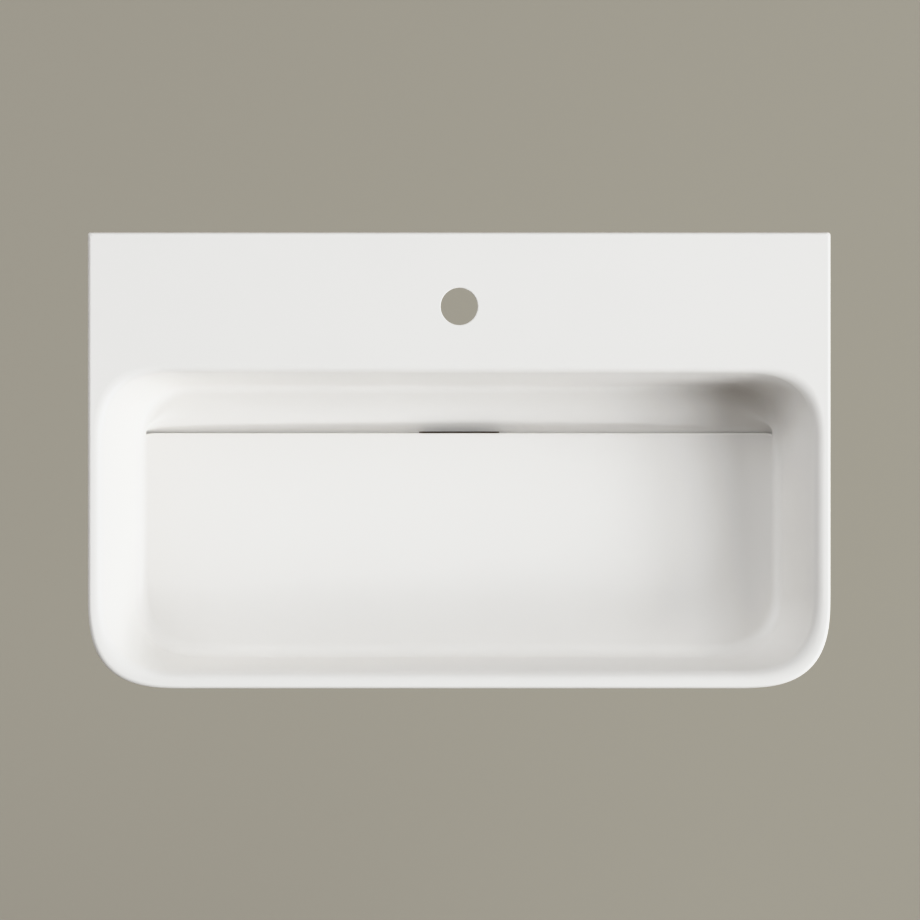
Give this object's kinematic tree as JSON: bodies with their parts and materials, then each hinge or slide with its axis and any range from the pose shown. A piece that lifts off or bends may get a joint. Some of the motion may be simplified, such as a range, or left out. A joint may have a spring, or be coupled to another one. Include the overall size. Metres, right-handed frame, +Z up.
{
  "type": "wall-hung washbasin",
  "caption": "Wide rectangular wall-hung washbasin with rounded front corners, a flat rear tap deck, a shallow bowl and a slot outlet hidden under the lip of its floor.",
  "frame": {"origin": "on the wall plane, midway between the two fixing holes, 100 mm below the rim", "axes": "+X to the right seen from the front, +Y into the wall, +Z up"},
  "size_m": [0.7, 0.43, 0.1881],
  "materials": {
    "glazed_ceramic": "glossy white glaze",
    "white_plastic": "moulded, satin",
    "chromed_brass": "bright chrome plate",
    "seal_rubber": "matt",
    "washer_nylon": "natural nylon"
  },
  "bodies": {
    "root": {"basin_body": "glazed_ceramic", "fixing_bushes": "white_plastic", "waste_strainer": "chromed_brass", "strainer_seal": "seal_rubber", "waste_tail": "chromed_brass", "tail_seal": "seal_rubber", "friction_washer": "washer_nylon", "waste_backnut": "chromed_brass"}
  },
  "joints": []
}
